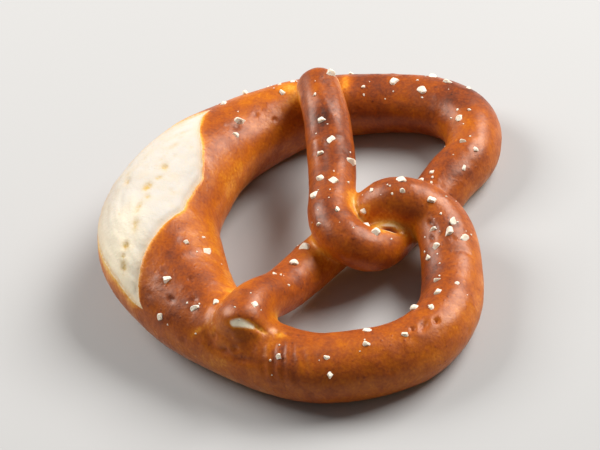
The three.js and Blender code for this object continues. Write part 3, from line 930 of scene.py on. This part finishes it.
grain_shape, dust_shape = ball(4), ball(3)
for point, radius, spin in grains:
    add_crystal(grain_shape, point, radius, spin)
for _ in range(DUST_TRIES):
    start = grains[rng.integers(GRAINS)][0]
    point = start + rng.normal(0, DUST_SPREAD, 3)
    nearest, normal, face, _ = surface.find_nearest(Vector(point))
    if normal.z > DUST_LEVEL and lip[dough_faces[face][0]] > 1:
        add_crystal(dust_shape, nearest, rng.uniform(*DUST_SIZES), rng.uniform(0, 6, 2))

starts = np.cumsum([0] + [len(corners) for corners, _ in crystals])
salt_points = np.concatenate([corners for corners, _ in crystals])
salt_faces = np.concatenate([faces + start for (_, faces), start in zip(crystals, starts)])
salt_mesh = bpy.data.meshes.new("salt")
salt_mesh.from_pydata((salt_points * MM).tolist(), [], salt_faces.tolist())
salt = new_object("salt", salt_mesh)
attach(salt, "root")
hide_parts("pretzel")
print(len(crystals), "crystals and crumbs,", len(salt_mesh.polygons), "faces")

# %% [markdown]
# ## Materials
#
# Every finish is worked out from position and from the numbers kept on the dough's corners, so
# it stays on the surface from any side. Mottling shows on crust, crumb and salt alike, so it is
# a node group, placed in each material with its own values. Specks are a group as well.


# %% Node helpers
def new_group(name, **inputs):
    """A node group that puts out a mask, and its inputs."""
    group = bpy.data.node_groups.new(name, "ShaderNodeTree")
    for socket, value in inputs.items():
        made = group.interface.new_socket(socket, in_out="INPUT", socket_type="NodeSocketFloat")
        made.default_value = value
    group.interface.new_socket("Mask", in_out="OUTPUT", socket_type="NodeSocketFloat")
    given = group.nodes.new("NodeGroupInput")
    return group, *(given.outputs[socket] for socket in inputs)


def give(tree, node, **values):
    """Values or links for a node's inputs, each by its name, or by i and its number."""
    for name, value in values.items():
        socket = node.inputs[int(name[1:]) if name[1:].isdigit() else name.replace("_", " ")]
        if isinstance(value, bpy.types.NodeSocket):
            tree.links.new(value, socket)
        else:
            socket.default_value = value


def add(tree, kind, settings=None, **values):
    """A new node with its settings and inputs."""
    node = tree.nodes.new("ShaderNode" + kind)
    for name, value in (settings or {}).items():
        setattr(node, name, value)
    give(tree, node, **values)
    return node


def math_node(tree, operation, a, b, clamp=False):
    return add(tree, "Math", {"operation": operation, "use_clamp": clamp}, i0=a, i1=b).outputs[0]


def weighted_sum(tree, *terms):
    """Values added up, each times its weight."""
    total = 0.0
    for value, weight in terms:
        settings = {"operation": "MULTIPLY_ADD"}
        total = add(tree, "Math", settings, i0=value, i1=weight, i2=total).outputs[0]
    return total


def ranged(tree, value, low, high, to_low=0.0, to_high=1.0):
    """The value from low to high, made to run from to_low to to_high."""
    return add(
        tree, "MapRange", {"interpolation_type": "SMOOTHSTEP"},
        Value=value, From_Min=low, From_Max=high, To_Min=to_low, To_Max=to_high,
    ).outputs[0]


def blend_colour(tree, factor, a, b):
    return add(tree, "Mix", {"data_type": "RGBA"}, i0=factor, i6=a, i7=b).outputs[2]


def place_group(tree, group, **values):
    return add(tree, "Group", {"node_tree": group}, **values).outputs[0]


def in_millimetres(group, size):
    """A texture's inputs for spots of that size, which stay on the piece."""
    where = add(group, "TexCoord").outputs["Object"]
    return {"Vector": where, "Scale": math_node(group, "DIVIDE", 1 / MM, size)}


# %% Mottling and specks
def mottle_group():
    """Cloudy patches of one size in millimetres, from 0 to 1."""
    group, size, detail, contrast = new_group("mottle", Size=4.0, Detail=3.0, Contrast=1.6)
    cloud = add(group, "TexNoise", Detail=detail, **in_millimetres(group, size)).outputs[0]
    centred = math_node(group, "SUBTRACT", cloud, 0.5)
    spread = math_node(group, "MULTIPLY", centred, contrast)
    mask = math_node(group, "ADD", spread, 0.5, clamp=True)
    give(group, group.nodes.new("NodeGroupOutput"), Mask=mask)
    return group


def speckle_group():
    """Small round spots, 1 in their middles: their size, and the share of places that has one."""
    group, size, share, softness = new_group("speckle", Size=1.5, Share=0.4, Softness=0.35)
    cell = add(group, "TexVoronoi", **in_millimetres(group, size))
    near = math_node(group, "SUBTRACT", softness, cell.outputs["Distance"])
    spot_mask = math_node(group, "DIVIDE", near, softness, clamp=True)
    draw = add(group, "SeparateColor", Color=cell.outputs["Color"]).outputs[0]
    chosen = math_node(group, "LESS_THAN", draw, share)
    mask = math_node(group, "MULTIPLY", spot_mask, chosen)
    give(group, group.nodes.new("NodeGroupOutput"), Mask=mask)
    return group


MOTTLE, SPECKLE = mottle_group(), speckle_group()

# %% Crust
BAKING = (
    (0.0, (0.78, 0.45, 0.10, 1)),  # pale gold
    (0.2, (0.68, 0.25, 0.018, 1)),  # amber
    (0.4, (0.50, 0.125, 0.006, 1)),  # orange
    (0.6, (0.355, 0.073, 0.007, 1)),  # orange brown
    (0.8, (0.20, 0.037, 0.008, 1)),  # chestnut
    (1.0, (0.07, 0.014, 0.006, 1)),  # mahogany
)
CRUMB_CREAM = (0.585, 0.535, 0.47, 1)
CRUMB_SHADE = (0.60, 0.50, 0.36, 1)
# warmer crumb, brightened as painted light
CRUMB_WARM_LIT = (0.94, 0.83, 0.62, 1)
CRUMB_GOLD = (0.64, 0.37, 0.12, 1)
TOASTED = (0.54, 0.34, 0.08, 1)


def new_material(mesh, name):
    """Puts a new material on a mesh. Gives its nodes and its shader."""
    material = bpy.data.materials.new(name)
    material.use_nodes = True
    mesh.materials.append(material)
    return material.node_tree, material.node_tree.nodes["Principled BSDF"]


def ramp(tree, value, stops):
    node = tree.nodes.new("ShaderNodeValToRGB")
    tree.links.new(value, node.inputs[0])
    elements = node.color_ramp.elements
    for i, (position, colour) in enumerate(stops):
        element = elements[i] if i < 2 else elements.new(position)
        element.position, element.color = position, colour
    return node.outputs[0]


def kept(tree, name):
    return add(tree, "Attribute", {"attribute_name": name}).outputs["Fac"]


def crust_colour(tree, cloud, fine, dark_specks, gold_specks):
    """The browning and painted shade, mottled and speckled, as a colour."""
    baked = weighted_sum(
        tree, (kept(tree, "browning_and_shade"), 1), (ranged(tree, cloud, 0, 1, -1, 1), 0.09),
        (ranged(tree, fine, 0, 1, -1, 1), 0.08), (dark_specks, 0.17), (gold_specks, -0.16),
    )
    return ramp(tree, baked, BAKING)


def crumb_colour(tree, cloud, fine):
    """Cream, warmer with painted light at one end and in the tear, golden along the lip and
    toasted round the burst bubbles.
    """
    cream = blend_colour(tree, ranged(tree, cloud, 0.2, 1, 0, 0.5), CRUMB_CREAM, CRUMB_SHADE)
    cream = blend_colour(tree, kept(tree, "warm_lit_crumb"), cream, CRUMB_WARM_LIT)
    cream = blend_colour(tree, kept(tree, "golden_edge"), cream, CRUMB_GOLD)
    toast = math_node(tree, "MULTIPLY", kept(tree, "toast"), ranged(tree, fine, 0.1, 0.8, 0.5, 1))
    return blend_colour(tree, toast, cream, TOASTED)


def dress_dough():
    tree, shader = new_material(dough_mesh, "crust")
    cloud = place_group(tree, MOTTLE, Size=4.5, Detail=5.0, Contrast=2.2)
    fine = place_group(tree, MOTTLE, Size=0.9, Detail=3.0, Contrast=1.8)
    dark_specks = place_group(tree, SPECKLE, Size=1.5, Share=0.22, Softness=0.34)
    gold_specks = place_group(tree, SPECKLE, Size=2.1, Share=0.16, Softness=0.30)

    crumb = ranged(tree, kept(tree, "lip"), 0.0, -0.4)
    crumb = math_node(tree, "MAXIMUM", crumb, ranged(tree, kept(tree, "bared"), 0.35, 0.7))
    crust = crust_colour(tree, cloud, fine, dark_specks, gold_specks)
    colour = blend_colour(tree, crumb, crust, crumb_colour(tree, cloud, fine))

    underside = kept(tree, "underside")
    gloss = ranged(tree, cloud, 0, 1, 0.33, 0.5)
    rough = add(tree, "Mix", i0=crumb, i2=gloss, i3=0.8).outputs[0]
    rough = math_node(tree, "MAXIMUM", rough, math_node(tree, "MULTIPLY", underside, 0.6))
    coat = ranged(tree, math_node(tree, "MAXIMUM", crumb, underside), 0, 1, 0.1, 0)

    height = weighted_sum(tree, (fine, 0.45), (dark_specks, 0.6), (gold_specks, -0.5), (cloud, 1))
    bump = add(tree, "Bump", Height=height, Strength=0.5, Distance=0.2 * MM).outputs[0]
    give(
        tree, shader, Base_Color=colour, Roughness=rough, Coat_Weight=coat, Normal=bump,
        Coat_Roughness=0.25, Specular_IOR_Level=0.36, Specular_Tint=(1, 0.78, 0.60, 1),
        Subsurface_Weight=0.06, Subsurface_Radius=(1.0, 0.4, 0.2), Subsurface_Scale=2 * MM,
    )
    print("crust from", len(tree.nodes), "nodes")


dress_dough()

# %% Salt
SALT_WHITE = (0.89, 0.81, 0.67, 1)
SALT_SHADE = (0.80, 0.68, 0.51, 1)


def dress_salt():
    tree, shader = new_material(salt_mesh, "salt")
    cloud = place_group(tree, MOTTLE, Size=1.2, Detail=3.0, Contrast=1.8)
    frost = place_group(tree, MOTTLE, Size=0.25, Detail=2.0, Contrast=1.8)
    bump = add(tree, "Bump", Height=frost, Strength=0.5, Distance=0.08 * MM).outputs[0]
    give(
        tree, shader, Base_Color=blend_colour(tree, cloud, SALT_WHITE, SALT_SHADE),
        Roughness=ranged(tree, frost, 0, 1, 0.3, 0.6), Normal=bump, Subsurface_Weight=0.35,
        Subsurface_Radius=(1.0, 0.9, 0.7), Subsurface_Scale=0.8 * MM,
    )
    print("salt from", len(tree.nodes), "nodes")


dress_salt()

# %% [markdown]
# ## Floor, light and camera
#
# A plain pale floor and two broad soft lights, one on each side behind the pretzel, draw long
# soft highlights on the crust, as windows do. The air round them is dim, so that the flanks
# keep their deep colour.

# %% Floor
FLOOR_HALF = 3.0  # in metres, as the lights and the camera are
FLOOR_GREY = (0.46, 0.45, 0.435, 1)
floor_mesh = bpy.data.meshes.new("floor")
floor_corners = FLOOR_HALF * np.array(((-1, -1, 0), (1, -1, 0), (1, 1, 0), (-1, 1, 0)))
floor_mesh.from_pydata(floor_corners.tolist(), [], [(0, 1, 2, 3)])
floor = new_object("floor", floor_mesh)
give(*new_material(floor_mesh, "floor"), Base_Color=FLOOR_GREY, Roughness=0.8)
print("floor", 2 * FLOOR_HALF, "m wide")

# %% Light
AIR = 0.14
AIR_COLOUR = (1, 0.98, 0.96, 1)
WINDOWS = {  # bearing, elevation, distance, width, height and power
    "left_window": (-62, 38, 1.2, 0.7, 0.6, 13.5),
    "right_window": (58, 42, 1.2, 0.9, 0.6, 23.5),
}
world = bpy.data.worlds.new("studio")
world.use_nodes = True
give(world.node_tree, world.node_tree.nodes["Background"], Color=AIR_COLOUR, Strength=AIR)
bpy.context.scene.world = world
bpy.context.scene.view_settings.view_transform = "Standard"


def soft_light(name, bearing, elevation, distance, width, height, power):
    """A rectangular lamp, its bearing counted from straight behind the pretzel to the right."""
    bearing, elevation = math.radians(bearing), math.radians(elevation)
    level, rise = math.cos(elevation) * distance, math.sin(elevation) * distance
    place = Vector((-math.cos(bearing) * level, math.sin(bearing) * level, rise))
    lamp = bpy.data.lights.new(name, "AREA")
    lamp.shape = "RECTANGLE"
    lamp.size, lamp.size_y = width, height
    lamp.energy = power
    holder = new_object(name, lamp)
    holder.location = place
    holder.rotation_euler = (-place).to_track_quat("-Z", "Y").to_euler()


for name, values in WINDOWS.items():
    soft_light(name, *values)
print(len(WINDOWS), "soft lights")

# %% Camera
CAMERA_PLACE = Vector((0.5456, 0.1067, 0.4690))
CAMERA_UP = Vector((-0.656, 0.105, 0.747))
CAMERA_AIM = Vector((0.0, 0.0, 0.012))
CAMERA_LENS = 140
camera_data = bpy.data.cameras.new("camera")
camera_data.lens = CAMERA_LENS
camera = new_object("camera", camera_data)
back = (CAMERA_PLACE - CAMERA_AIM).normalized()
right = CAMERA_UP.cross(back).normalized()
turned = Matrix((right, back.cross(right), back)).transposed().to_4x4()
camera.matrix_world = Matrix.Translation(CAMERA_PLACE) @ turned
bpy.context.scene.camera = camera
print("camera at", tuple(camera.location))
